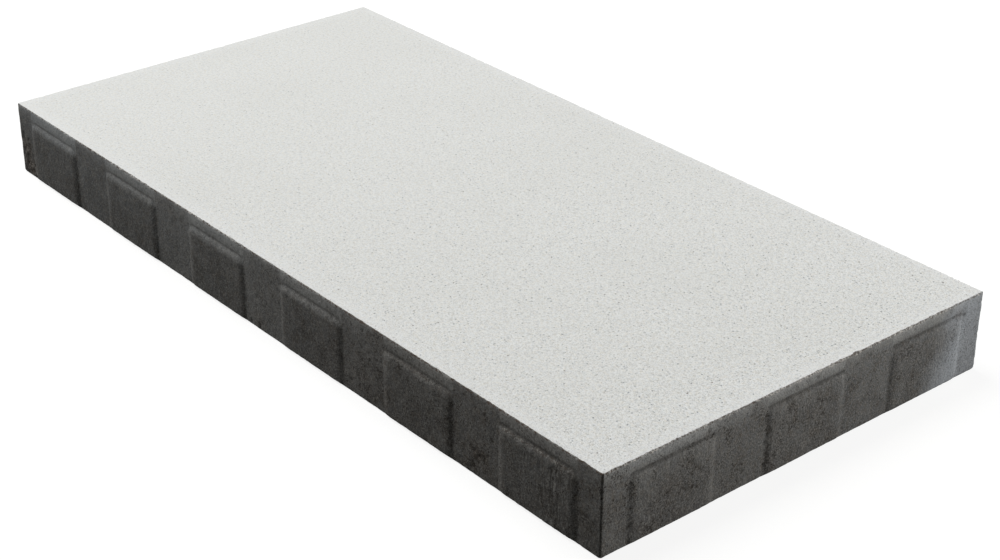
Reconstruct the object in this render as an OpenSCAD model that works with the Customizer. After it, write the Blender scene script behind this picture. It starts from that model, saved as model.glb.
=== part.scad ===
// Square-edged concrete paving slab with spacer pads moulded on its four sides.
// Sizes are in millimetres. The origin is the centre of the bed face, +X runs along
// the length and +Z points up to the paving face.

/* [Slab] */
// Length between the two end faces, without the pads
slab_length = 697; // [600:1:900]
// Width between the two long faces, without the pads
slab_width = 347; // [300:1:450]
// Thickness from the bed face to the paving face
slab_thickness = 60; // [50:1:100]
// Radius of the four upright corners
corner_radius = 1.5; // [1:0.5:6]
// Width of the eased edge round the paving face
arris = 0.6; // [0.3:0.1:3]

/* [Spacer pads] */
// Pads on each long face
long_pads = 6; // [4:1:7]
// Pads on each end face
end_pads = 3; // [2:1:3]
// Width of a pad where it meets the face
pad_width = 72; // [50:1:80]
// Distance that a pad stands out, which is half of the joint between two slabs
pad_rise = 1.5; // [1.2:0.1:4]
// Width of the bevel on a pad's sides and top
pad_bevel = 4; // [3:0.5:6]
// Radius of a pad's two upper corners where it meets the face
pad_corner = 7; // [6.5:0.5:12]
// Height of the plain band between the tops of the pads and the paving face
band_height = 9.5; // [8:0.5:20]

/* [Hidden] */
$fn = 48;
// The laying module is the slab with its pads, and both rows of pads divide it evenly
module_length = slab_length + 2 * pad_rise;
module_width = slab_width + 2 * pad_rise;
// A pad runs down to the bed face, because the mould is lifted off upwards
pad_height = slab_thickness - band_height;
// Depth that a pad reaches into the slab, and how much wider its bevel makes it there
pad_root = 0.5;
root_spread = pad_bevel * pad_root / pad_rise;

// Plan of the slab: a rectangle with rounded corners
module slab_plan() {
    square([slab_length - 2 * corner_radius, slab_width], center = true);
    square([slab_length, slab_width - 2 * corner_radius], center = true);
    for (x = [-1, 1], y = [-1, 1])
        translate([x * (slab_length / 2 - corner_radius), y * (slab_width / 2 - corner_radius)])
            circle(corner_radius);
}

// Upright section of the slab, eased at its two upper edges
module eased_section(span) {
    half = span / 2;
    shoulder = slab_thickness - arris;
    polygon([
        [-half, 0], [half, 0],
        [half, shoulder], [half - arris, slab_thickness],
        [arris - half, slab_thickness], [-half, shoulder]
    ]);
}

// Bar of the eased section, as long as the slab's other dimension
module eased_bar(span, run) {
    rotate([90, 0, 0])
        linear_extrude(run, center = true)
            eased_section(span);
}

// The slab without its pads: the plan and the two eased sections intersected
module slab_block() {
    intersection() {
        linear_extrude(slab_thickness) slab_plan();
        eased_bar(slab_length, slab_width);
        rotate(90) eased_bar(slab_width, slab_length);
    }
}

// One pad on the plane z = 0, with its foot along the X axis and its face towards +Z
module spacer_pad() {
    half = pad_width / 2;
    straight = half - pad_corner;
    shoulder = pad_height - pad_corner;
    // Lower part, bevelled on its two sides
    rotate([-90, 0, 0])
        linear_extrude(shoulder)
            polygon([
                [-half - root_spread, pad_root], [half + root_spread, pad_root],
                [half - pad_bevel, -pad_rise], [pad_bevel - half, -pad_rise]
            ]);
    // Upper part, bevelled on its top
    rotate([90, 0, 90])
        linear_extrude(2 * straight, center = true)
            polygon([
                [0, -pad_root], [pad_height + root_spread, -pad_root],
                [pad_height - pad_bevel, pad_rise], [0, pad_rise]
            ]);
    // Upper corners, where the bevel turns round a cone
    for (side = [-1, 1])
        translate([side * straight, shoulder, -pad_root])
            cylinder(
                h = pad_root + pad_rise,
                r1 = pad_corner + root_spread,
                r2 = pad_corner - pad_bevel
            );
}

// A row of pads on the face that looks along -Y, at the given distance from the centre
module pad_row(count, run, reach) {
    pitch = run / count;
    for (i = [0 : count - 1])
        translate([(i + 0.5) * pitch - run / 2, -reach, 0])
            rotate([90, 0, 0])
                spacer_pad();
}

module paving_slab() {
    color("lightgray") slab_block();
    color("dimgray") {
        for (turn = [0, 180])
            rotate(turn) pad_row(long_pads, module_length, slab_width / 2);
        for (turn = [90, 270])
            rotate(turn) pad_row(end_pads, module_width, slab_length / 2);
    }
}

paving_slab();
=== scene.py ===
# %% [markdown]
# # A concrete paving slab
#
# The slab is one casting of dry, pressed concrete. Its paving face is pale and finely blasted, its sides are
# dark grey as they came out of the mould, and flat spacer pads on the sides keep the joint to the next slab.
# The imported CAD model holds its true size. This lesson loads that model and gives it a skin that shows what
# the mould, the press and the handling left on the concrete.

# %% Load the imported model
import math
from collections import namedtuple

import bpy
import numpy as np
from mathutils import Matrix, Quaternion, Vector, geometry, noise


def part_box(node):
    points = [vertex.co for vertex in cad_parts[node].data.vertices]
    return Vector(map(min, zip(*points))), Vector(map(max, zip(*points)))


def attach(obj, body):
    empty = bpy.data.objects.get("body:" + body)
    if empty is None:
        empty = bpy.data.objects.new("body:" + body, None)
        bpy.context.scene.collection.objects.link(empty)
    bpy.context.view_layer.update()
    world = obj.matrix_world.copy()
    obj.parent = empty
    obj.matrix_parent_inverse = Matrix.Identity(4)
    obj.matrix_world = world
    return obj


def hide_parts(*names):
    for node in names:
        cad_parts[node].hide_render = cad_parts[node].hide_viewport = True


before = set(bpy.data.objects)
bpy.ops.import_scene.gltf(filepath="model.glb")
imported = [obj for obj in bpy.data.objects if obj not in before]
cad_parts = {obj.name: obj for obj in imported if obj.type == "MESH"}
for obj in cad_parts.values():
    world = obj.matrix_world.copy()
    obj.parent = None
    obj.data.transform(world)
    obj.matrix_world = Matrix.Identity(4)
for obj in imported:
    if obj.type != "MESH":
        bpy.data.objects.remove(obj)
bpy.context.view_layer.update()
scene = bpy.context.scene
scene.view_settings.view_transform = "Standard"
print("nodes:", sorted(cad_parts))

# %% [markdown]
# ## Sizes
#
# Blender works in metres, and a slab is thought of in millimetres, so the slab's sizes are in millimetres
# until the mesh is made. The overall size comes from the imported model. The rest are the slab's own features,
# as the part's source has them.

# %% Measure the slab
MM = 0.001

low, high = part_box("paving_slab")
module_length, module_width, thickness = [round(side / MM, 3) for side in high - low]

PAD_RISE = 1.5
PAD_WIDTH = 72
PAD_BEVEL = 4
PAD_CORNER = 7
BAND_HEIGHT = 9.5
CORNER_RADIUS = 1.5
ARRIS = 0.6
LONG_PADS = 6
END_PADS = 3

slab_length = module_length - 2 * PAD_RISE
slab_width = module_width - 2 * PAD_RISE
half = np.array([slab_length, slab_width]) / 2
pad_height = thickness - BAND_HEIGHT
print(f"slab {slab_length} x {slab_width} x {thickness} mm, pads {PAD_WIDTH} x {pad_height} mm")

# %% [markdown]
# ## Camera
#
# The camera stands where the photographer stood: off the near corner, looking down at the slab with a
# moderately long lens. The angles and the distance come from fitting a pinhole camera to the slab's corners.
# Aiming a vector with `to_track_quat` avoids working out Euler angles by hand.

# %% Place the camera
CAMERA_AZIMUTH = math.radians(49.86)
CAMERA_ELEVATION = math.radians(28.21)
CAMERA_ROLL = math.radians(0.33)
# The distance and the point aimed at are in metres, and the lens in millimetres
CAMERA_DISTANCE = 1.4388
CAMERA_AIM = Vector((0.0869, -0.0310, 0.030))
CAMERA_LENS = 73.2


def direction(azimuth, elevation):
    """The unit vector from the slab towards that azimuth, counted from the front, and that elevation."""
    flat = math.cos(elevation)
    return Vector((math.sin(azimuth) * flat, -math.cos(azimuth) * flat, math.sin(elevation)))


towards_camera = direction(CAMERA_AZIMUTH, CAMERA_ELEVATION)
camera = bpy.data.objects.new("camera", bpy.data.cameras.new("camera"))
camera.data.lens = CAMERA_LENS
camera.location = CAMERA_AIM + towards_camera * CAMERA_DISTANCE
roll = Quaternion((0, 0, 1), CAMERA_ROLL)
camera.rotation_euler = (towards_camera.to_track_quat("Z", "Y") @ roll).to_euler()
scene.collection.objects.link(camera)
scene.camera = camera
print("camera at", [round(value, 3) for value in camera.location])

# %% [markdown]
# ## Nodes and colours
#
# Every material below is a small network of nodes. One function adds a node, sets its properties and fills
# its inputs with plain values or with links to other nodes. Colours are written as sRGB hex values, the way a
# colour picker shows them, and one function turns them to the linear values that Blender mixes light in.

# %% Helpers for materials


def linear(colour):
    """An sRGB hex colour, such as #808080, as linear RGBA."""
    parts = [int(colour[i:i + 2], 16) / 255 for i in (1, 3, 5)]
    return [c / 12.92 if c <= 0.04045 else ((c + 0.055) / 1.055) ** 2.4 for c in parts] + [1]


def add(tree, kind, settings, *ordered, **named):
    """Adds a node and fills its inputs, in order or by name, with _ for a space in the name.

    An input takes a plain value, a node, whose first output it reads, or a pair of a node and the name of
    an output.
    """
    made = tree.nodes.new("ShaderNode" + kind)
    for name, value in settings.items():
        setattr(made, name, value)
    sockets = [socket for socket in made.inputs if socket.enabled]
    filled = list(zip(sockets, ordered))
    for name, value in named.items():
        filled.append((next(socket for socket in sockets if socket.name == name.replace("_", " ")), value))
    for socket, value in filled:
        node, output = value if isinstance(value, tuple) else (value, None)
        if isinstance(node, bpy.types.Node):
            source = next(end for end in node.outputs if end.enabled and output in (None, end.name))
            tree.links.new(source, socket)
        else:
            socket.default_value = value
    return made


def new_material(name):
    """A material without nodes, and the tree to add them to."""
    material = bpy.data.materials.new(name)
    material.use_nodes = True
    material.node_tree.nodes.clear()
    return material, material.node_tree


print("mid grey is", [round(value, 3) for value in linear("#808080")])

# %% [markdown]
# ## Light
#
# The light on the slab comes from well round to the left and to the right, so it rakes along both near sides,
# and a bevel shows bright or dark by the way it leans. A high light from the left brightens the paving face
# and the tops of the pads. Three softboxes give that. A softbox's share says how bright it makes a face that
# is turned to it, and its energy follows from that share and its distance.

# %% Add the softboxes


def softbox(name, azimuth, elevation, distance, size, share):
    """A square area light turned towards the slab, with angles in degrees and lengths in metres.

    The energy grows with the square of the distance, so that a lamp further off isn't a weaker one.
    """
    lamp = bpy.data.objects.new(name, bpy.data.lights.new(name, "AREA"))
    lamp.data.size = size
    lamp.data.energy = share * math.pi ** 2 * distance ** 2
    away = direction(math.radians(azimuth), math.radians(elevation))
    lamp.location = away * distance
    lamp.rotation_euler = away.to_track_quat("Z", "Y").to_euler()
    scene.collection.objects.link(lamp)
    return lamp


lamps = [
    softbox("high_softbox", azimuth=280, elevation=65, distance=2.8, size=1.8, share=0.66),
    softbox("left_softbox", azimuth=298, elevation=20, distance=5.0, size=2.3, share=0.56),
    softbox("right_softbox", azimuth=138, elevation=12, distance=2.6, size=1.2, share=1.02),
]
print("softboxes:", ", ".join(lamp.name for lamp in lamps))

# %% [markdown]
# ## White surroundings
#
# A cut-out picture has a white ground, but a white room would flood the sides with light. The Light Path node
# tells what kind of ray has arrived, so the camera sees white while the slab gets the light of a dim room.
# The floor keeps part of its own shading, so that the slab's soft shadow still shows on it.

# %% Make the world
ROOM_LIGHT = 0.04
MAXIMUM = {"operation": "MAXIMUM"}


def seen_directly(tree):
    """One for rays from the camera, a mirror or a glass, and zero for the rays that carry light about."""
    path = add(tree, "LightPath", {})
    shiny = add(tree, "Math", MAXIMUM, (path, "Is Glossy Ray"), (path, "Is Transmission Ray"))
    return add(tree, "Math", MAXIMUM, shiny, (path, "Is Camera Ray"))


world = bpy.data.worlds.new("white_room")
world.use_nodes = True
tree = world.node_tree
tree.nodes.clear()
scene.world = world
dim = add(tree, "Background", {}, Color=linear("#FFFFFF"), Strength=ROOM_LIGHT)
white = add(tree, "Background", {}, Color=linear("#FFFFFF"), Strength=1)
add(tree, "OutputWorld", {}, Surface=add(tree, "MixShader", {}, seen_directly(tree), dim, white))
print("the room gives", ROOM_LIGHT, "of full light")

# %% Make the floor
FLOOR_BOUNCE = "#6E6E6C"
FLOOR_SHADED = "#8A8A88"
FLOOR_GLOW = 0.84
# Both in metres. The gap keeps the floor clear of the bed face
FLOOR_SIZE = 12
FLOOR_GAP = 0.0002

floor_paint, tree = new_material("pale_floor_paint")
bounce = add(tree, "BsdfDiffuse", {}, Color=linear(FLOOR_BOUNCE))
shaded = add(tree, "BsdfDiffuse", {}, Color=linear(FLOOR_SHADED))
glow = add(tree, "Emission", {}, Color=linear("#FFFFFF"), Strength=FLOOR_GLOW)
pale = add(tree, "AddShader", {}, shaded, glow)
add(tree, "OutputMaterial", {}, Surface=add(tree, "MixShader", {}, seen_directly(tree), bounce, pale))

floor_half = FLOOR_SIZE / 2
corners = [(x * floor_half, y * floor_half, -FLOOR_GAP) for x, y in ((-1, -1), (1, -1), (1, 1), (-1, 1))]
floor_mesh = bpy.data.meshes.new("floor")
floor_mesh.from_pydata(corners, [], [(0, 1, 2, 3)])
floor_mesh.materials.append(floor_paint)
floor = bpy.data.objects.new("floor", floor_mesh)
scene.collection.objects.link(floor)
print("floor of", FLOOR_SIZE, "m")

# %% [markdown]
# ## A walk round the sides
#
# The skin's sides are a grid: columns stand round the slab like fence posts, and rows run up each column. A
# grid keeps the relief easy to place, because a point on it is a distance along a side and a height. A
# column stands exactly at each edge of a pad and of its bevel, so that these stay crisp.

# %% Lay out the sides
# A side's length, its distance from the slab's middle and its pads' places along it
Side = namedtuple("Side", "run reach centres")


def pad_centres(run, count):
    """Where a row of pads divides the laying module evenly."""
    return [run * ((i + 0.5) / count - 0.5) for i in range(count)]


long_side = Side(slab_length, slab_width / 2, pad_centres(module_length, LONG_PADS))
end_side = Side(slab_width, slab_length / 2, pad_centres(module_width, END_PADS))
SIDES = [long_side, end_side, long_side, end_side]
FRONT, RIGHT, BACK, LEFT = range(len(SIDES))
print("pads in all:", sum(len(side.centres) for side in SIDES))

# %% Lay out the columns
STEP_ALONG = 1.35
CORNER_STEPS = 4


def through(stops, step):
    """Points through all the stops, no further apart than step."""
    line = [stops[0]]
    for start, end in zip(stops, stops[1:]):
        count = max(1, math.ceil((end - start) / step))
        line += [start + (end - start) * (i + 1) / count for i in range(count)]
    return line


made = []
for index, side in enumerate(SIDES):
    turn = math.radians(90 * index)
    ahead = np.array([math.cos(turn), math.sin(turn)])
    outward = np.array([math.sin(turn), -math.cos(turn)])
    end = side.run / 2 - CORNER_RADIUS
    edges = [
        centre + way * (PAD_WIDTH / 2 - bevel)
        for centre in side.centres for way in (-1, 1) for bevel in (0, PAD_BEVEL)
    ]
    for spot in through(sorted([-end, end] + edges), STEP_ALONG):
        gaps = [abs(spot - centre) for centre in side.centres]
        nearest = gaps.index(min(gaps))
        made.append((ahead * spot + outward * side.reach, outward, spot, gaps[nearest], index, nearest))
    # A rounded corner counts as far from any pad
    hub = ahead * end + outward * (side.reach - CORNER_RADIUS)
    for i in range(1, CORNER_STEPS):
        bend = math.pi / 2 * i / CORNER_STEPS
        leaning = outward * math.cos(bend) + ahead * math.sin(bend)
        made.append((hub + leaning * CORNER_RADIUS, leaning, end + bend * CORNER_RADIUS, side.run, index, 0))

# Each column's foot, the way it faces, its place along its side, its distance from the nearest pad's middle,
# its side and that pad
foot, facing, along, across, side_of, pad_of = [np.array(part) for part in zip(*made)]
columns = len(foot)
around = np.concatenate([[0], np.cumsum(np.linalg.norm(np.diff(foot, axis=0), axis=1))])
print(columns, "columns round", round(around[-1]), "mm")

# %% [markdown]
# ## Rows up the sides
#
# Each row has a height and an inset from the side. The rows start on the bed face, turn up over its worn
# edge, climb the side and turn in again over the arris, which is the edge of the paving face. They lie closer
# where the pads end. The last ones lie flat on the paving face, where the skin can grow coarse.

# %% Lay out the rows
BED_INSETS = (9, 3)
FOOT_WORN = 2.2
FOOT_INSET = 0.9
GROOVE_ROOM = 3.2
ARRIS_ROOM = 2.4
FACE_INSETS = (0.9, 3, 9)
# The middle of the arris bulges a little, so it is less than halfway in
ARRIS_MIDDLE = 0.4
# Up to which height the rows climb, and how far apart they lie below it
CLIMB_STEPS = (
    (FOOT_WORN, 0.6),
    (pad_height - PAD_BEVEL, 1.5),
    (pad_height + GROOVE_ROOM, 0.9),
    (thickness - ARRIS_ROOM, 1.4),
)

climb = [0]
for stop, step in CLIMB_STEPS:
    climb += through([climb[-1], stop], step)[1:]
row_height = [0] * len(BED_INSETS) + climb
row_inset = list(BED_INSETS) + [FOOT_INSET * max(0, 1 - level / FOOT_WORN) ** 2 for level in climb]
edge_row = len(BED_INSETS)
arris_row = len(row_height)
row_height += [thickness - ARRIS, thickness - ARRIS / 2, thickness]
row_inset += [0, ARRIS * ARRIS_MIDDLE, ARRIS]
face_row = len(row_height) - 1
row_height += [thickness] * len(FACE_INSETS)
row_inset += [ARRIS + inset for inset in FACE_INSETS]
row_height, row_inset = np.array(row_height, float), np.array(row_inset, float)
rows = len(row_height)
print(rows, "rows, of which", len(climb), "on the side")

# %% Cross the columns with the rows
height = np.broadcast_to(row_height, (columns, rows)).copy()
inset = np.broadcast_to(row_inset, (columns, rows)).copy()


def drawn_in(inset):
    """The columns' feet, drawn in towards the middle, so that the rounded corners keep their shape."""
    return foot[:, None] * (1 - inset[..., None] / half)


place = np.empty((columns, rows, 3))
place[..., :2] = drawn_in(inset)
place[..., 2] = height
print("a grid of", columns * rows, "points")

# %% [markdown]
# ## Spacer pads
#
# A pad is pressed into a pocket of the mould, so it has bevelled edges, rounded upper corners and no lower
# edge: it runs down to the bed, where its foot is worn off by handling. A pad could be modelled once and
# copied, but then it would have to be joined to the side. Here the distance inside its outline, which is
# negative outside it, raises the grid over the bevel. Later it also places the crumbs and the creases.

# %% Raise the pads
# The bevel bends over into the pad's face within this share of its width, before and after its upper edge
SHOULDER = 0.7

wide = across[:, None] - (PAD_WIDTH / 2 - PAD_CORNER)
tall = height - (pad_height - PAD_CORNER)
beyond = np.hypot(np.maximum(wide, 0), np.maximum(tall, 0))
inside = PAD_CORNER - beyond - np.minimum(np.maximum(wide, tall), 0)
at_top = tall > wide

ramp = np.clip(inside / PAD_BEVEL, 0, None)
bend = np.clip((ramp - (1 - SHOULDER)) / (2 * SHOULDER), 0, 1)
pad_relief = PAD_RISE * (np.minimum(ramp, 1 - SHOULDER) + 2 * SHOULDER * (bend - bend ** 2 / 2))
pad_relief *= np.clip(height / FOOT_WORN, 0, 1)
on_pad = np.minimum(ramp, 1)
print("highest pad relief", round(pad_relief.max(), 2), "mm")

# %% [markdown]
# ## Grooves at the pads' tops
#
# The lip of the mould's pocket presses a shallow groove along the top edge of each pad, deeper on some than
# on others. A bell curve over the height gives a soft valley. Smooth noise makes it uneven along its length,
# as a groove in damp concrete is. The same noise, at other sizes, is used all over the slab.

# %% Press in the grooves
GROOVE_DEPTH = 0.5
# Its middle lies just below the pad's top edge
GROOVE_MIDDLE = -0.25
GROOVE_HALF = 1.4
# Over this length it runs out at the pad's sides
GROOVE_END = 1.5
# How uneven it is, and over what length
GROOVE_UNEVEN = 0.4
GROOVE_STRETCH = 8
# How deep the groove at each pad is, from pad to pad, on each side
GROOVED = [
    (0.35, 0.35, 0.4, 0.45, 0.75, 0.85),
    (1.0, 1.0, 0.9),
    (0.5, 0.7, 0.6, 0.4, 0.8, 0.6),
    (0.8, 0.9, 0.7),
]
# How far apart two seeds lie in the noise
SEED_APART = 31.7


def cloud(points, size, seed):
    """Smooth random values between -1 and 1, which change over about size millimetres."""
    moved = points.reshape(-1, 3) / size + SEED_APART * seed
    return np.array([noise.noise(point) for point in moved]).reshape(points.shape[:-1])


def bell(distance, half_width):
    """One at no distance, falling softly to about a third at half the width."""
    return np.exp(-(distance / half_width) ** 2)


def per_pad(strengths):
    """The strength that belongs to each column's nearest pad, from a list for each side."""
    return np.array([strengths[side][pad] for side, pad in zip(side_of, pad_of)])


over_pad = np.clip((PAD_WIDTH / 2 - across) / GROOVE_END, 0, 1) * per_pad(GROOVED)
groove = bell(height - pad_height - GROOVE_MIDDLE, GROOVE_HALF) * over_pad[:, None]
groove *= 1 + GROOVE_UNEVEN * cloud(place, GROOVE_STRETCH, seed=60)
relief = -GROOVE_DEPTH * groove
print("deepest groove", round(-relief.min(), 2), "mm")

# %% [markdown]
# ## Grain and scrapes
#
# Dry concrete doesn't flow, so its sides stay a little uneven, and the mould scrapes the pads as it is lifted
# off. Smooth noise in three sizes gives the unevenness, and noise that is stretched upright gives the
# scrapes. A displacement texture could do this too, but relief that is worked out here lies on the very pads
# that were scraped. It is real relief in the mesh, so it catches the light from any side.

# %% Add the grain and the scrapes
# The size and the depth of the unevenness
GRAIN_LAYERS = ((38, 0.16), (9, 0.14), (3.2, 0.16))
SCRAPE_PITCH = 2.6
SCRAPE_LENGTH = 9
SCRAPE_DEPTH = 0.3
# How far apart the sides lie in the scrapes' noise, so that no two are alike
SIDE_APART = 100
# Where the mould scraped a pad, as side, distance along it, half of the scrape's width and strength
SCRAPES = [
    (FRONT, 310, 17, 1.0),
    (FRONT, 281, 9, 0.4),
    (FRONT, 190, 12, 0.45),
    (FRONT, 160, 7, 0.3),
    (FRONT, -300, 14, 0.25),
    (RIGHT, 130, 9, 0.5),
    (RIGHT, -135, 6, 0.4),
    (BACK, -290, 16, 0.8),
    (BACK, 60, 10, 0.5),
    (BACK, 182, 8, 0.4),
    (LEFT, 8, 14, 0.7),
    (LEFT, -120, 9, 0.4),
]

relief += sum(depth * cloud(place, size, seed) for seed, (size, depth) in enumerate(GRAIN_LAYERS))

stretched = np.empty(place.shape)
stretched[..., 0] = along[:, None] / SCRAPE_PITCH
stretched[..., 1] = SIDE_APART * side_of[:, None]
stretched[..., 2] = height / SCRAPE_LENGTH
scraped = np.zeros(height.shape)
for side, middle, reach, strength in SCRAPES:
    hard = strength * bell(along - middle, reach) * (side_of == side)
    scraped = np.maximum(scraped, hard[:, None] * on_pad)
relief += SCRAPE_DEPTH * scraped * cloud(stretched, 1, seed=9)
print(len(SCRAPES), "scrapes, relief from", round(relief.min(), 2), "to", round(relief.max(), 2), "mm")

# %% [markdown]
# ## Crumbled bevels and hairline cracks
#
# The mix is weakest where it is thin. Grains break out of the pads' top bevels, and a few hairline cracks run
# slantwise over the sides. Noise that is kept to the bevel roughens it. A crack is a narrow valley along the
# line between two points, and its shape follows from the distance to that line.

# %% Crumble the bevels and open the cracks
CRUMB_SIZE = 2.8
CRUMB_DEPTH = 0.7
CRUMBLED_HALF = 2.5
# How much each pad's top bevel crumbled, from pad to pad, on each side
CRUMBLED = [
    (0.3, 0.3, 0.5, 0.8, 0.9, 1.0),
    (0.6, 0.6, 0.5),
    (0.6, 0.4, 0.8, 0.5, 0.7, 0.9),
    (0.7, 0.5, 0.8),
]
# Hairline cracks, as side, and the distance along it and the height of both their ends
CRACKS = [
    (RIGHT, -107, 44, -92, 29),
    (RIGHT, -110, 25, -99, 16),
    (BACK, 210, 38, 226, 20),
]
# A crack is drawn wider than life, because the grid's points lie more than a millimetre apart there
CRACK_HALF = 0.95
CRACK_DEPTH = 0.3

crumbled = bell(inside - PAD_BEVEL / 2, CRUMBLED_HALF) * at_top * per_pad(CRUMBLED)[:, None]
relief += CRUMB_DEPTH * crumbled * cloud(place, CRUMB_SIZE, seed=11)

cracked = np.zeros(height.shape)
for side, from_along, from_height, to_along, to_height in CRACKS:
    run = np.array([to_along - from_along, to_height - from_height])
    offset = np.stack(np.broadcast_arrays(along[:, None] - from_along, height - from_height), -1)
    passed = np.clip(offset @ run / (run @ run), 0, 1)
    gap = np.linalg.norm(offset - passed[..., None] * run, axis=-1)
    cracked = np.maximum(cracked, bell(gap, CRACK_HALF) * (side_of == side)[:, None])
relief -= CRACK_DEPTH * cracked
print(len(CRACKS), "cracks")

# %% [markdown]
# ## Pits
#
# The press can't close every gap between the grains, so the sides are pitted, and most in a few open places
# where earth has settled. A seeded random generator scatters the pits, so they lie in the same places each
# time. Each pit is a small bowl, pressed into the points near it. Noise that comes in clusters adds the
# flecks, which are too many to place one by one.

# %% Choose the pits
# The number of pits on each side, and the smallest and largest radius and depth
PIT_COUNTS = (170, 330, 240, 280)
PIT_RADIUS = (0.8, 1.3)
PIT_DEPTH = (0.2, 0.6)
# Places that the press left open, as side, distance along it, height, spread, number of pits, share of earth
OPEN_PLACES = [
    (FRONT, -340, 24, 8, 22, 1.0),
    (FRONT, -336, 9, 9, 22, 1.0),
    (FRONT, -8, 8, 8, 8, 0.4),
    (FRONT, 116, 20, 12, 14, 0.3),
    (FRONT, 236, 17, 13, 18, 0.4),
    (RIGHT, -34, 36, 5, 12, 0.3),
    (RIGHT, -32, 12, 5, 9, 0.2),
    (RIGHT, -118, 30, 12, 10, 0.1),
    (RIGHT, 143, 38, 3, 6, 0.2),
    (RIGHT, -149, 14, 4, 6, 0.1),
    (RIGHT, 18, 28, 10, 12, 0.1),
    (RIGHT, 149, 51, 4, 3, 0.6),
    (BACK, 335, 15, 10, 30, 0.8),
    (BACK, -120, 12, 9, 10, 0.3),
    (LEFT, 60, 20, 8, 18, 0.4),
]
OPEN_PIT_RADIUS = (0.9, 1.8)
# An open place's pits spread half as far along the side as up it, and earth makes them larger
SPREAD_ALONG = 0.5
EARTH_LARGER = 0.7

rng = np.random.default_rng(20)
side_start = [around[side_of == side].min() - along[side_of == side].min() for side in range(len(SIDES))]
pits = []
for side, count in enumerate(PIT_COUNTS):
    reach = SIDES[side].run / 2
    for _ in range(count):
        spot = side_start[side] + rng.uniform(-reach, reach)
        level = rng.uniform(0, thickness - ARRIS_ROOM)
        pits.append((spot, level, rng.uniform(*PIT_RADIUS), 1))
for side, middle, upright, spread, count, share in OPEN_PLACES:
    for _ in range(count):
        spot = side_start[side] + middle + rng.normal(0, spread * SPREAD_ALONG)
        level = upright + rng.normal(0, spread)
        pits.append((spot, level, rng.uniform(*OPEN_PIT_RADIUS), 1 + EARTH_LARGER * share))
print(len(pits), "pits")

# %% Press in the flecks and the pits
FLECK_SIZE = 2.6
FLECK_CLUSTER = 17
FLECK_DEPTH = 0.9
# The level of the fine noise above which a fleck shows, and of the broad one above which a cluster does
FLECK_LEVEL = 0.28
CLUSTER_LEVEL = -0.25


def bowl(gap):
    """One in the middle of a round hollow, and zero from its rim on, where the gap is one."""
    return np.clip(1 - gap ** 2, 0, 1)


flecks = np.clip(cloud(place, FLECK_SIZE, seed=32) - FLECK_LEVEL, 0, 1)
flecks *= np.clip(cloud(place, FLECK_CLUSTER, seed=33) - CLUSTER_LEVEL, 0, 1)
pit = FLECK_DEPTH * flecks * (height < thickness - ARRIS_ROOM)
side_rows = np.arange(edge_row + 1, arris_row)
for spot, level, radius, larger in pits:
    radius *= larger
    near = np.arange(*np.searchsorted(around, (spot - radius, spot + radius)))
    window = np.ix_(near, side_rows)
    gap = np.hypot(around[near][:, None] - spot, row_height[side_rows] - level) / radius
    depth = rng.uniform(*PIT_DEPTH) * larger
    pit[window] = np.maximum(pit[window], bowl(gap) * depth)
relief -= pit
print("deepest pit", round(pit.max(), 2), "mm")

# %% [markdown]
# ## A crumbly arris
#
# The square edge of a pressed slab is its weakest place. Grains break out of it, so it is a little ragged all
# the way, more on some stretches than on others, with a larger chip here and there. Cutting each chip out as
# a solid would be slow and would leave poor faces. Instead the wear widens the eased edge in some columns,
# which pushes the arris in and down there.

# %% Choose how the arris is worn
# The size and the depth of the raggedness, and the shares of that depth that it stays between
RAGGED = ((2.2, 0.75), (6, 0.4))
RAGGED_RANGE = (-0.5, 1)
# How ragged the arris is, at each pad's middle and changing from pad to pad, on each side
RAGGEDNESS = [
    (0.2, 0.5, 0.55, 0.55, 0.8, 0.8),
    (1.0, 1.1, 0.8),
    (0.7, 0.6, 0.8, 0.7, 0.9, 0.6),
    (0.6, 0.8, 0.7),
]
# Over what length that swings, round what level, and within what limits
SWING_LENGTH = 40
SWING_LEVEL = 0.9
SWING_LIMITS = (0.3, 1.3)
CHIP_COUNT = 190
CHIP_RADIUS = (1.0, 2.4)
CHIP_DEPTH = (0.4, 1.1)
# Within this distance a corner stayed sounder, and so much of the wear is left at the corner itself
CORNER_SOUND = 8
CORNER_WEAR = 0.2


def from_pad_to_pad(strengths):
    """A strength for each column, from a list for each side, changing steadily from pad to pad."""
    return np.concatenate([
        np.interp(along[side_of == side], SIDES[side].centres, values)
        for side, values in enumerate(strengths)
    ])


rim_points = np.column_stack([foot, np.full(columns, thickness)])
chip = sum(
    depth * np.clip(cloud(rim_points, size, seed), *RAGGED_RANGE)
    for seed, (size, depth) in enumerate(RAGGED, start=20)
)
for _ in range(CHIP_COUNT):
    gap = np.abs(around - rng.uniform(0, around[-1])) / rng.uniform(*CHIP_RADIUS)
    chip = np.maximum(chip, bowl(gap) * rng.uniform(*CHIP_DEPTH))
swing = SWING_LEVEL * (1 + cloud(rim_points, SWING_LENGTH, seed=24))
chip *= from_pad_to_pad(RAGGEDNESS) * np.clip(swing, *SWING_LIMITS)
corner_gap = np.linalg.norm(np.abs(foot) - half, axis=1)
chip *= np.clip(corner_gap / CORNER_SOUND, CORNER_WEAR, 1)
print("arris worn by", round(chip.min(), 2), "to", round(chip.max(), 2), "mm")

# %% Wear the arris
# How far the arris's rows lie below the paving face, as shares of its worn width
ARRIS_DROPS = (1, 0.5, 0.06)
# How far the rows behind it give way to a chip, as shares of the chip's depth
FACE_FOLLOWS = (0.8, 0.1, 0)

worn = 1 + chip / ARRIS
for row, drop in enumerate(ARRIS_DROPS, arris_row):
    height[:, row] = thickness - ARRIS * worn * drop
inset[:, arris_row + 1] *= worn
inset[:, face_row] = ARRIS * worn
inset[:, face_row + 1:] += chip[:, None] * FACE_FOLLOWS
print("arris between", round(ARRIS * worn.min(), 2), "and", round(ARRIS * worn.max(), 2), "mm wide")

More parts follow.
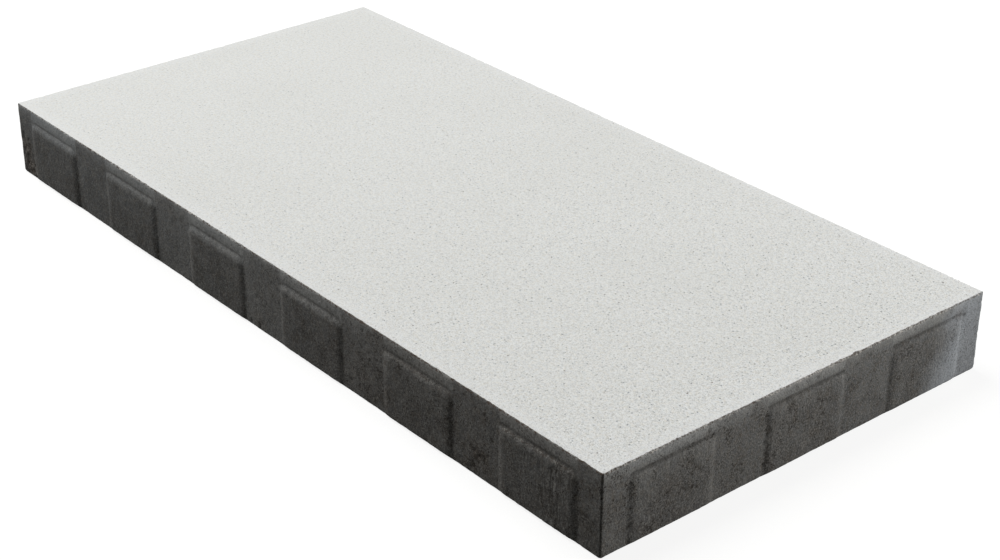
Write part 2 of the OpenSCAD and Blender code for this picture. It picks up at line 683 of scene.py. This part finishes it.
# %% [markdown]
# ## The skin
#
# The grid closes round the slab, and a flat cap closes each end. A cap has a fine rim and a coarse middle,
# where nothing stands out. Blender's constrained Delaunay triangulation joins the two, so the caps need no
# hand-made stitching.

# %% Push the grid into shape
on_side = np.zeros(rows)
on_side[edge_row:arris_row] = 1
# A pad's relief ends where the skin turns in to the bed face or to the paving face
push = pad_relief * (row_inset < ARRIS) + relief * on_side
place[..., :2] = drawn_in(inset) + facing[:, None] * push[..., None]
place[..., 2] = height


def index_of(column, row):
    """The number of a grid point in the mesh, where the first column follows on the last."""
    return (column % columns) * rows + row


skin = [
    (index_of(c, r), index_of(c + 1, r), index_of(c + 1, r + 1), index_of(c, r + 1))
    for c in range(columns) for r in range(rows - 1)
]
points = [tuple(p) for p in place.reshape(-1, 3)]
print(len(skin), "faces round the sides")

# %% Close it with two caps
# How far in a ring of points lies, and for how many columns it has one point
CAP_RINGS = ((4, 2), (9, 4), (18, 8))
CAP_GRID = 12
# The kind of result that keeps only triangles within the outline, and the distance at which points merge
WITHIN_OUTLINE = 1
MERGED = 1e-5


def cap(row, level, upwards):
    """Triangles that close the ring of a row, with a coarser middle."""
    ring = place[:, row, :2]
    flat = [tuple(p) for p in ring]
    for gap, every in CAP_RINGS:
        flat += [tuple(p) for p in (ring * (1 - gap / half))[::every]]
    spare = CAP_RINGS[-1][0] + CAP_GRID + row_inset[row]
    across_x = np.arange(-slab_length / 2 + spare, slab_length / 2 - spare, CAP_GRID)
    across_y = np.arange(-slab_width / 2 + spare, slab_width / 2 - spare, CAP_GRID)
    flat += [(x, y) for x in across_x for y in across_y]
    outline = [list(range(columns))]
    joined = geometry.delaunay_2d_cdt([Vector(p) for p in flat], [], outline, WITHIN_OUTLINE, MERGED)
    new_points, _, new_faces, came_from = joined[:4]
    here = {}
    for new, old in enumerate(came_from):
        if old and old[0] < columns:
            here[new] = index_of(old[0], row)
        else:
            here[new] = len(points)
            points.append((new_points[new].x, new_points[new].y, level))
    return [[here[v] for v in (face if upwards else reversed(face))] for face in new_faces]


bed = cap(0, level=0, upwards=False)
face = cap(rows - 1, level=thickness, upwards=True)
print(len(bed), "triangles on the bed face and", len(face), "on the paving face")

# %% Make the mesh
mesh = bpy.data.meshes.new("paving_slab_skin")
mesh.from_pydata([(x * MM, y * MM, z * MM) for x, y, z in points], [], skin + bed + face)
mesh.shade_smooth()
slab = bpy.data.objects.new("paving_slab_skin", mesh)
scene.collection.objects.link(slab)
triangles = 2 * len(skin) + len(bed) + len(face)
print(len(points), "points and", triangles, "triangles")

# %% [markdown]
# ## Marks of the relief
#
# The materials need to know where the skin was pressed, scraped or stained. A shader could only guess that
# from the shape. Attributes store one number for each point of the mesh, and a shader reads them by name.
# Working the marks out here, from the same distances as the relief, keeps each mark on the feature that
# caused it. The creases round the pads and their grooves get painted shade, and the open places get earth.

# %% Mark the pads, the creases and the hollows
# A crease of painted shade runs just outside a pad's outline, darker along its top than along its sides
CREASE_MIDDLE = -0.3
CREASE_HALF = 1.1
CREASE_TOP = 0.75
CREASE_SIDE = 0.15

earth = np.zeros(height.shape)
for side, middle, upright, spread, _, share in OPEN_PLACES:
    gap = np.hypot(around[:, None] - side_start[side] - middle, height - upright)
    earth = np.maximum(earth, share * bell(gap, spread))

painted_crease_shade = bell(inside - CREASE_MIDDLE, CREASE_HALF) * np.where(at_top, CREASE_TOP, CREASE_SIDE)
marks = {
    "along": np.broadcast_to(along[:, None], height.shape) * MM,
    "pad": on_pad,
    "painted_crease_shade": np.maximum(painted_crease_shade, groove),
    # The pit mark darkens pits and cracks by their depth, which is painted shade in these hollows
    "pit": np.maximum(pit / PIT_DEPTH[1], cracked),
    "scrape": scraped,
    "earth": earth,
}
print("mean of the earth mark:", round(earth.mean(), 3))

# %% [markdown]
# ## Cement film
#
# As the mould slides off, it smears a thin, pale film of cement over the side. The film is thickest right
# under the arris, covers the plain band above the pads and runs down over the pads' top bevels, where it also
# carries a painted highlight. Each part fades simply over the height, and their sum, broken up by noise, is
# one mark. A second mark says where the film dried cooler in colour. Where there is little film, the mix shows
# as open as the press left it.

# %% Spread the film over the band
# How much film grows up the plain band above each pad, from pad to pad, on each side
STRIP_FILM = [
    (0.12, 0.23, 0.14, 0.04, 0.14, 0.22),
    (0.18, 0.22, 0.28),
    (0.2, 0.15, 0.2, 0.25, 0.18, 0.2),
    (0.2, 0.15, 0.22),
]
# How far above the pad it starts, over what height it grows, and how far it stops short of the pad's sides
STRIP_START = 1
STRIP_FADE = 5.5
STRIP_SHORT = 0.4
# How much film covers that whole band and runs on over the pad's top bevel, where it adds a painted highlight
BEVEL_FILM_AND_HIGHLIGHT = [
    (0.40, 0.26, 0.37, 0.32, 0.18, 0.18),
    (0.06, 0.02, 0.03),
    (0.1, 0.05, 0.15, 0.2, 0.1, 0.1),
    (0.05, 0.05, 0.1),
]
# How far down the pad it is whole, and how much further down it fades, on each side
BEVEL_FULL = 3
BEVEL_REACH = (4, 14, 6, 8)

over = (across < PAD_WIDTH / 2 - STRIP_SHORT)[:, None]
above = height - pad_height
strip = over * per_pad(STRIP_FILM)[:, None] * np.clip((above - STRIP_START) / STRIP_FADE, 0, 1)
run_down = np.array(BEVEL_REACH)[side_of][:, None]
# Film over the band above the pad, and a painted highlight on the pad's top bevel
bevel = over * per_pad(BEVEL_FILM_AND_HIGHLIGHT)[:, None] * np.clip((above + BEVEL_FULL) / run_down + 1, 0, 1)
print("most film over a pad:", round((strip + bevel).max(), 2))

# %% Add the film under the arris and in the gaps
# How much film there is right under the arris, at each pad's middle and changing from pad to pad
EDGE_FILM = [
    (0.46, 0.45, 0.42, 0.36, 0.34, 0.10),
    (0.60, 0.64, 0.48),
    (0.4, 0.5, 0.4, 0.5, 0.6, 0.5),
    (0.5, 0.4, 0.5),
]
EDGE_FADE = 5.5
# A faint film in the gaps on the front, and where along it that is strongest
GAP_FILM = 0.14
GAP_FILM_MIDDLE = -30
GAP_FILM_REACH = 130
# How much cooler than elsewhere the film dried, at each pad's middle and changing from pad to pad
COOL_FILM = [
    (1.0, 0.6, 0.6, 0.3, 0.0, 0.0),
    (0.4, 0.15, 0.2),
    (0.2, 0.0, 0.1, 0.3, 0.2, 0.4),
    (0.3, 0.1, 0.4),
]
# The broad and the fine noise that breaks the film up
FILM_CLOUDS = (12, 3)
FILM_UNEVEN = 0.4

between = bell(along - GAP_FILM_MIDDLE, GAP_FILM_REACH) * (side_of == FRONT)
gap_film = GAP_FILM * between[:, None] * (1 - on_pad) * (1 - over)
edge_film = from_pad_to_pad(EDGE_FILM)[:, None] * np.exp((height - thickness) / EDGE_FADE)
film = edge_film + gap_film + strip + bevel
broken_up = sum(cloud(place, size, seed) for seed, size in enumerate(FILM_CLOUDS, start=50))
marks["film"] = film * (1 + FILM_UNEVEN * broken_up)
marks["cool"] = film * from_pad_to_pad(COOL_FILM)[:, None]
print("most film:", round(marks["film"].max(), 2))

# %% Mark where the mix is open
# How open the press left the mix, at each pad's middle and changing from pad to pad
OPENNESS = [
    (0.15, 0.2, 0.4, 0.8, 1.3, 1.2),
    (1.2, 0.9, 0.6),
    (0.5, 0.7, 0.3, 0.4, 0.8, 0.6),
    (0.8, 0.9, 0.6),
]
OPEN_STRETCH = 30
OPEN_UNEVEN = 0.7

openness = from_pad_to_pad(OPENNESS)[:, None] * (1 + OPEN_UNEVEN * cloud(place, OPEN_STRETCH, seed=52))
marks["open"] = np.clip(openness * (1 - film) + earth, 0, 1)
print("mean openness:", round(marks["open"].mean(), 2))

# %% [markdown]
# ## A painted light patch
#
# A pale patch of painted light lies on the far part of the right end, behind a leaning edge, and it dies out
# soon after the corner. It could be painted on by hand, but the distance past that edge gives the whole patch,
# and noise makes the edge wander.

# %% Mark the painted light patch
# Where along the right end the edge starts at its foot and ends at its head, and how softly it sets in
LIGHT_PATCH_FOOT = 123
LIGHT_PATCH_HEAD = 147
LIGHT_PATCH_SOFT = 15
# How far and over what length the edge wanders, and how slowly the painted light fades beyond it
LIGHT_PATCH_WANDER = 7
WANDER_LENGTH = 14
LIGHT_PATCH_REACH = 60
# Round the corner, on the back, it soon dies out, unevenly
BACK_LIGHT_PATCH = 0.6
BACK_REACH = 14
BACK_UNEVEN = 0.8
BACK_STRETCH = 18

edge = LIGHT_PATCH_FOOT + (LIGHT_PATCH_HEAD - LIGHT_PATCH_FOOT) * height / thickness
past_edge = along[:, None] - edge
setting_in = (past_edge + LIGHT_PATCH_WANDER * cloud(place, WANDER_LENGTH, seed=40)) / LIGHT_PATCH_SOFT
fading = np.exp(-np.clip(past_edge, 0, None) / LIGHT_PATCH_REACH)
on_end = np.clip(setting_in / 2 + 0.5, 0, 1) * fading * (side_of == RIGHT)[:, None]
back_reach = BACK_REACH * (1 + BACK_UNEVEN * cloud(place, BACK_STRETCH, seed=41))
past_corner = (along[:, None] + slab_length / 2) / back_reach
on_back = BACK_LIGHT_PATCH * np.exp(-past_corner) * (side_of == BACK)[:, None]
marks["bloom"] = np.maximum(on_end, on_back)
print("strongest bloom:", round(marks["bloom"].max(), 2))

# %% [markdown]
# ## Crumbs and the rim
#
# Grains that broke out of the arris, the pads' bevels and the open places left brown and pale crumbs behind.
# The paving face is a little paler along its rim, where the blast may have come from the side too. Storing
# the marks ends this part: each is laid out point by point in the order of the mesh, with zeros on the caps.

# %% Mark the crumbs and store the marks
# How many of the arris's crumbs are pale, at each pad's middle and changing from pad to pad
PALE_CRUMBS = [
    (0.8, 1.1, 0.9, 0.4, 0.0, 0.2),
    (1.2, 1.3, 1.3),
    (0.7, 0.5, 0.8, 0.6, 0.7, 0.5),
    (0.6, 0.8, 0.7),
]
# How many brown ones there are on the arris, and how many fewer where crumbs are pale
BROWN_CRUMBS = 1.3
BROWN_FEWER = 0.3
# How many brown and pale ones there are on a crumbled bevel, and pale ones in the earth
BEVEL_BROWN = 0.8
BEVEL_PALE = 0.75
EARTH_PALE = 0.85
RIM_REACH = 10

on_arris = np.broadcast_to((np.arange(rows) >= arris_row) * 1.0, height.shape)
pale_share = from_pad_to_pad(PALE_CRUMBS)[:, None]
marks["crumbs"] = np.maximum(on_arris * (BROWN_CRUMBS - BROWN_FEWER * pale_share), BEVEL_BROWN * crumbled)
loose = np.maximum(BEVEL_PALE * crumbled, EARTH_PALE * earth)
marks["pale_crumbs"] = np.maximum(on_arris * pale_share, loose)
marks["rim"] = np.exp(-np.maximum(inset - ARRIS, 0) / RIM_REACH) * (np.arange(rows) >= face_row)

on_caps = np.zeros(len(points) - columns * rows)
for name, values in marks.items():
    stored = mesh.attributes.new(name, "FLOAT", "POINT")
    stored.data.foreach_set("value", np.concatenate([values.ravel(), on_caps]).astype(np.float32))
print("marks:", ", ".join(marks))

# %% [markdown]
# ## Blasted white concrete
#
# The paving face is a fine mix of white cement and light sand, blasted after it set. Blasting takes the
# cement skin off, so the eye sees a soft, dull, sandy white with sparse dark grains of crushed rock. A
# picture of concrete could be wrapped round the slab, but patterns drawn from sizes in millimetres stay sharp
# and don't repeat. Sand under a millimetre would vanish between the pixels, so it is drawn about twice its
# real size. A Map Range node, which shapes most patterns here, takes a value, the two ends of the range that
# it comes from and, where they aren't 0 and 1, what these ends become.

# %% Draw the paving face's sand and grit
SAND_SIZE = 2.0
GRIT_SIZE = 0.85
TINT_SIZE = 2.6
DRIFT_SIZE = 90
# How strongly the grit was bared, at the slab's left and right end
BLASTED = (0.4, 1.2)
# Half of the noise's range, above which a grain of grit stands out and below which it lies low
MIDDLE = 0.5


def per_mm(size):
    """The texture scale at which one cell or cloud measures that many millimetres."""
    return 1 / (size * MM)


white_concrete, tree = new_material("fine_blasted_white_concrete")
where = (add(tree, "TexCoord", {}), "Object")
sand = add(tree, "TexNoise", {}, where, per_mm(SAND_SIZE), Detail=2.0, Roughness=0.5)
even_grit = add(tree, "TexNoise", {}, where, per_mm(GRIT_SIZE), Detail=2.0, Roughness=0.6)
tint = add(tree, "TexNoise", {}, where, per_mm(TINT_SIZE), Detail=2.0, Roughness=0.6)
drift = add(tree, "TexNoise", {}, where, per_mm(DRIFT_SIZE), Detail=2.0, Roughness=0.5)
lengthwise = (add(tree, "SeparateXYZ", {}, where), "X")
blasted = add(tree, "MapRange", {}, lengthwise, -half[0] * MM, half[0] * MM, *BLASTED)
grit_height = add(tree, "Math", {"operation": "SUBTRACT"}, even_grit, MIDDLE)
grit = add(tree, "Math", {"operation": "MULTIPLY_ADD"}, grit_height, blasted, MIDDLE)
print("sand of", SAND_SIZE, "mm and grit of", GRIT_SIZE, "mm")

# %% [markdown]
# ## Layers of colour
#
# The colour is built up in layers, as a painter would: each layer shows where its pattern is strong, up to a
# largest share. The grains of rock lie over the sand. A Voronoi texture splits the face into cells and tells
# how far a place is from its cell's middle. A random share of the cells holds a grain there.

# %% Layer the paving face's colours
FACE_COLOUR = "#E4E5E2"
# Spacing of the cells that may hold a grain of rock, the share that do, and the grain's radius and colour
ROCK_GRAINS = (
    (2.8, 0.35, 0.7, "#9C9E9D"),
    (4.6, 0.30, 0.7, "#5F656A"),
    (7.0, 0.30, 0.8, "#63584B"),
    (6.2, 0.25, 0.8, "#7A8086"),
)
# The share of a grain's radius within which it has its full colour
GRAIN_CORE = 0.4
GRIT_RELIEF = 0.25
COLOUR_MIX = {"data_type": "RGBA"}
PRODUCT = {"operation": "MULTIPLY"}
BELOW = {"operation": "LESS_THAN"}


def layered(tree, colour, layers):
    """Lays tints over a colour.

    A layer is a pattern, the values at which it starts and is complete, its largest share and its tint.
    """
    for pattern, start, complete, most, tint in layers:
        share = add(tree, "MapRange", {}, pattern, start, complete, 0.0, most)
        colour = add(tree, "Mix", COLOUR_MIX, share, colour, linear(tint))
    return colour


layers = [
    (sand, 0.5, 0.25, 0.5, "#C6C6C2"),
    (sand, 0.5, 0.75, 0.5, "#F2F3F1"),
    (grit, 0.5, 0.2, 0.95, "#A9A9A5"),
    (grit, 0.5, 0.8, 0.8, "#F8F9F8"),
    (tint, 0.5, 0.8, 0.35, "#DCD2BC"),
    (tint, 0.5, 0.2, 0.3, "#C9D2DA"),
    (drift, 0.4, 0.7, 0.12, "#D2D2CC"),
    (blasted, BLASTED[1], BLASTED[0], 0.09, "#C6C7C4"),
]
for spacing, holding, radius, rock in ROCK_GRAINS:
    grain = add(tree, "TexVoronoi", {}, where, per_mm(spacing))
    held = add(tree, "Math", BELOW, add(tree, "SeparateColor", {}, (grain, "Color")), holding)
    near = add(tree, "MapRange", {}, grain, GRAIN_CORE * radius / spacing, radius / spacing, 1.0, 0.0)
    bared = add(tree, "Math", PRODUCT, near, blasted)
    layers.append((add(tree, "Math", PRODUCT, held, bared), 0.0, 1.0, 0.9, rock))
rim = (add(tree, "Attribute", {"attribute_name": "rim"}), "Fac")
layers.append((rim, 0.0, 1.0, 0.3, "#E9EAEA"))
colour = layered(tree, linear(FACE_COLOUR), layers)
bump = add(tree, "Bump", {}, Height=grit, Strength=0.5, Distance=GRIT_RELIEF * MM)
shader = add(tree, "BsdfPrincipled", {}, Base_Color=colour, Roughness=0.92, IOR=1.5,
             Specular_IOR_Level=0.12, Normal=bump)
add(tree, "OutputMaterial", {}, Surface=shader)
print("made", white_concrete.name, "with", len(layers), "layers")

# %% [markdown]
# ## Pressed grey concrete
#
# The body is a lean grey mix, struck from the mould while it is still damp. That gives the eye a dull, dark
# side, speckled with pores and brown sand and crazed with fine lines. Pores and sand are drawn larger than
# life, so that they show. Some patterns are held to the places where a mark was stored: pores and crazing to
# the open mix, crumbs to the broken edges and streaks to the scrapes.

# %% Draw the sides' pores and crazing
PATCH_SIZE = 42
STAIN_SIZE = 15
SIDE_TINT_SIZE = 3.2
SIDE_SAND_SIZE = 1.3
PORE_SIZE = 1.25
# Between which levels of the noise a pore deepens, and how much clusters bring the pores out
PORE_LEVELS = (0.56, 0.62)
PORE_CLUSTER = 16
PORE_CLUSTER_LEVELS = (0.4, 0.56)
PORE_CLUSTER_SHARES = (0.3, 1.0)
CRAZE_SIZE = 11
# A line of crazing runs where its noise is this near to the middle, and only on the darker stains
CRAZE_HALF = 0.014
CRAZE_STAINS = (0.53, 0.6)

grey_concrete, tree = new_material("pressed_grey_concrete")
where = (add(tree, "TexCoord", {}), "Object")
mark = {
    name: (add(tree, "Attribute", {"attribute_name": name}), "Fac")
    for name in marks if name != "rim"
}
patch = add(tree, "TexNoise", {}, where, per_mm(PATCH_SIZE), Detail=3.0, Roughness=0.6)
stain = add(tree, "TexNoise", {}, where, per_mm(STAIN_SIZE), Detail=3.0, Roughness=0.6)
tint = add(tree, "TexNoise", {}, where, per_mm(SIDE_TINT_SIZE), Detail=2.0, Roughness=0.6)
sand = add(tree, "TexNoise", {}, where, per_mm(SIDE_SAND_SIZE), Detail=2.0, Roughness=0.6)
pore = add(tree, "TexNoise", {}, where, per_mm(PORE_SIZE), Detail=2.0, Roughness=0.6, Distortion=1.2)
cluster = add(tree, "TexNoise", {}, where, per_mm(PORE_CLUSTER), Detail=2.0, Roughness=0.5)
pore_deep = add(tree, "MapRange", {}, pore, *PORE_LEVELS)
pore_near = add(tree, "MapRange", {}, cluster, *PORE_CLUSTER_LEVELS, *PORE_CLUSTER_SHARES)
pore_here = add(tree, "Math", PRODUCT, pore_deep, pore_near)
pores = add(tree, "Math", PRODUCT, pore_here, mark["open"])
winding = add(tree, "TexNoise", {}, where, per_mm(CRAZE_SIZE), Detail=3.0, Roughness=0.6)
craze_line = add(tree, "Math", {"operation": "COMPARE"}, winding, MIDDLE, CRAZE_HALF)
craze_here = add(tree, "Math", PRODUCT, craze_line, add(tree, "MapRange", {}, stain, *CRAZE_STAINS))
crazing = add(tree, "Math", PRODUCT, craze_here, mark["open"])
print("the sides read", len(mark), "marks")

# %% Draw the sides' crumbs and streaks
CRUMB_TINT_SIZE = 1.5
BROWN_LEVELS = (0.56, 0.42)
BROWN_SHARES = (0.2, 1.0)
PALE_LEVELS = (0.51, 0.61)
# How wide a streak of a scrape is, and at which levels of its noise it is light or dark
HAIRLINE = 1.5
LIGHT_LEVELS = (0.52, 0.66)
DARK_LEVELS = (0.48, 0.34)

crumb = add(tree, "TexNoise", {}, where, per_mm(CRUMB_TINT_SIZE), Detail=2.0, Roughness=0.6)
brown_crumb = add(tree, "MapRange", {}, crumb, *BROWN_LEVELS, *BROWN_SHARES)
brown_crumbs = add(tree, "Math", PRODUCT, brown_crumb, mark["crumbs"])
pale_crumb = add(tree, "MapRange", {}, crumb, *PALE_LEVELS)
pale_crumbs = add(tree, "Math", PRODUCT, pale_crumb, mark["pale_crumbs"])

lifted = (add(tree, "SeparateXYZ", {}, where), "Z")
streak_u = add(tree, "Math", PRODUCT, mark["along"], per_mm(HAIRLINE))
streak_v = add(tree, "Math", PRODUCT, lifted, per_mm(SCRAPE_LENGTH))
streak_place = add(tree, "CombineXYZ", {}, streak_u, 0.0, streak_v)
streak = add(tree, "TexNoise", {}, streak_place, 1.0, Detail=2.0)
light_streak = add(tree, "MapRange", {}, streak, *LIGHT_LEVELS)
light_streaks = add(tree, "Math", PRODUCT, light_streak, mark["scrape"])
dark_streak = add(tree, "MapRange", {}, streak, *DARK_LEVELS)
dark_streaks = add(tree, "Math", PRODUCT, dark_streak, mark["scrape"])
print("crumbs of", CRUMB_TINT_SIZE, "mm and streaks of", HAIRLINE, "mm")

# %% Layer the sides' colours
SIDE_COLOUR = "#5F6060"
# Painted shade near the floor darkens the side more and more below this height
PAINTED_SHADE_FOOT = 45
SAND_RELIEF = 0.6

layers = [
    (patch, 0.45, 0.7, 0.5, "#6E6E6C"),
    (patch, 0.5, 0.3, 0.35, "#53504C"),
    (stain, 0.5, 0.7, 0.55, "#494642"),
    (stain, 0.5, 0.3, 0.45, "#787876"),
    (tint, 0.5, 0.75, 0.3, "#6B5D4C"),
    (tint, 0.5, 0.25, 0.35, "#5C636B"),
    (mark["open"], 0.0, 1.0, 0.2, "#655C50"),
    (mark["pad"], 0.0, 1.0, 0.2, "#4F4D4A"),
    # Painted shade near the floor, darker towards the bottom
    (lifted, PAINTED_SHADE_FOOT * MM, 0.0, 0.3, "#3B3936"),
    # Pale cement film, with a painted highlight where it runs over the pads' top bevels
    (mark["film"], 0.0, 1.0, 1.0, "#9E9D99"),
    (mark["cool"], 0.0, 1.0, 0.5, "#8F989F"),
    # Painted light: a pale, cool patch on the far part of the right end and just round its corner
    (mark["bloom"], 0.0, 1.0, 0.8, "#A6ABB0"),
    (mark["earth"], 0.0, 1.0, 0.4, "#5A4B3E"),
    (sand, 0.5, 0.75, 0.5, "#918F8A"),
    (sand, 0.5, 0.25, 0.5, "#32302D"),
    (light_streaks, 0.0, 1.0, 0.5, "#8E8D89"),
    (dark_streaks, 0.0, 1.0, 0.6, "#2B2926"),
    (pores, 0.0, 1.0, 0.95, "#241F1B"),
    (crazing, 0.0, 1.0, 0.7, "#241F1B"),
    # Painted shade in the pits and cracks, darker where they are deeper
    (mark["pit"], 0.2, 0.9, 0.55, "#28241F"),
    # Painted shade in the creases round the pads and in their grooves
    (mark["painted_crease_shade"], 0.1, 1.0, 0.6, "#34312E"),
    (brown_crumbs, 0.5, 1.0, 0.85, "#504339"),
    (pale_crumbs, 0.5, 1.0, 0.6, "#CBC4BA"),
]
colour = layered(tree, linear(SIDE_COLOUR), layers)
bump = add(tree, "Bump", {}, Height=sand, Strength=0.6, Distance=SAND_RELIEF * MM)
shader = add(tree, "BsdfPrincipled", {}, Base_Color=colour, Roughness=0.95, IOR=1.5,
             Specular_IOR_Level=0.08, Normal=bump)
add(tree, "OutputMaterial", {}, Surface=shader)
print("made", grey_concrete.name, "with", len(layers), "layers")

# %% [markdown]
# ## Unwrapping
#
# A painter, or an export that bakes the materials, needs the skin laid out flat. Blender can unwrap a mesh by
# itself, but it would cut this rough skin into many scraps. The grid already knows its distances, so the
# sides become four straight strips and the two faces stay as they are, like a box that was cut open along its
# edges. The bed face, which lies hidden in the sand, is laid out at about half its size.

# %% Share out the square
LAYOUT_GAP = 5
LAYOUT_FILL = 0.98
BED_SHRUNK = 0.48
layout_size = slab_length / LAYOUT_FILL

climbed = np.concatenate([[0], np.cumsum(np.hypot(np.diff(row_height), np.diff(row_inset)))])
climbed -= climbed[edge_row]
strip_height = climbed[face_row] + LAYOUT_GAP
face_floor = 2 * strip_height + LAYOUT_GAP
bed_floor = face_floor + slab_width + LAYOUT_GAP
beside_bed = 2 * LAYOUT_GAP + BED_SHRUNK * slab_length
strip_corner = np.array([
    (LAYOUT_GAP, LAYOUT_GAP),
    (beside_bed, bed_floor),
    (LAYOUT_GAP, LAYOUT_GAP + strip_height),
    (beside_bed, bed_floor + strip_height),
])
face_corner = np.array([LAYOUT_GAP, face_floor])
bed_corner = np.array([LAYOUT_GAP, bed_floor])
print("a square of", round(layout_size), "mm")

# %% Lay the skin out flat
loop_point = np.empty(len(mesh.loops), int)
mesh.loops.foreach_get("vertex_index", loop_point)
flat = np.array(points)[loop_point, :2]
face_layout = face_corner + half + flat
bed_layout = bed_corner + BED_SHRUNK * (half + flat * (-1, 1))

grid_loops = 4 * len(skin)
after = np.append(around[1:], around[-1] + np.linalg.norm(foot[0] - foot[-1]))
start = np.array([around[side_of == side].min() for side in range(len(SIDES))])[side_of]
strip_layout = np.empty((columns, rows - 1, 4, 2))
strip_layout[..., 0] = (np.stack([around, after, after, around], 1) - start[:, None])[:, None]
strip_layout[..., 1] = np.stack([climbed[:-1], climbed[:-1], climbed[1:], climbed[1:]], 1)
strip_layout += strip_corner[side_of][:, None, None]

loop_row = np.tile(np.repeat(np.arange(rows - 1), 4), columns)
layout = np.concatenate([strip_layout.reshape(-1, 2), bed_layout[grid_loops:]])
layout[:grid_loops][loop_row < edge_row] = bed_layout[:grid_loops][loop_row < edge_row]
layout[:grid_loops][loop_row >= face_row] = face_layout[:grid_loops][loop_row >= face_row]
cap_loops = sum(len(corners) for corners in face)
layout[-cap_loops:] = face_layout[-cap_loops:]
uv_map = mesh.uv_layers.new(name="OFBake")
uv_map.data.foreach_set("uv", (layout / layout_size).ravel().astype(np.float32))
print("layout spans", (layout.max(0) / layout_size).round(3), "of the square")

# %% [markdown]
# ## Dress the slab
#
# The faces above the arris take the white mix, and all others the grey one. The skin rides on the packed
# model's only body and stands in for its node.

# %% Assign the materials and tie the skin to the model
mesh.materials.append(grey_concrete)
mesh.materials.append(white_concrete)
skin_row = np.tile(np.arange(rows - 1), columns)
on_face = np.concatenate([skin_row >= face_row, np.zeros(len(bed)), np.ones(len(face))]).astype(int)
mesh.polygons.foreach_set("material_index", on_face)
mesh.update()
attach(slab, "root")
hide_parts("paving_slab")
print(on_face.sum(), "faces of white concrete")
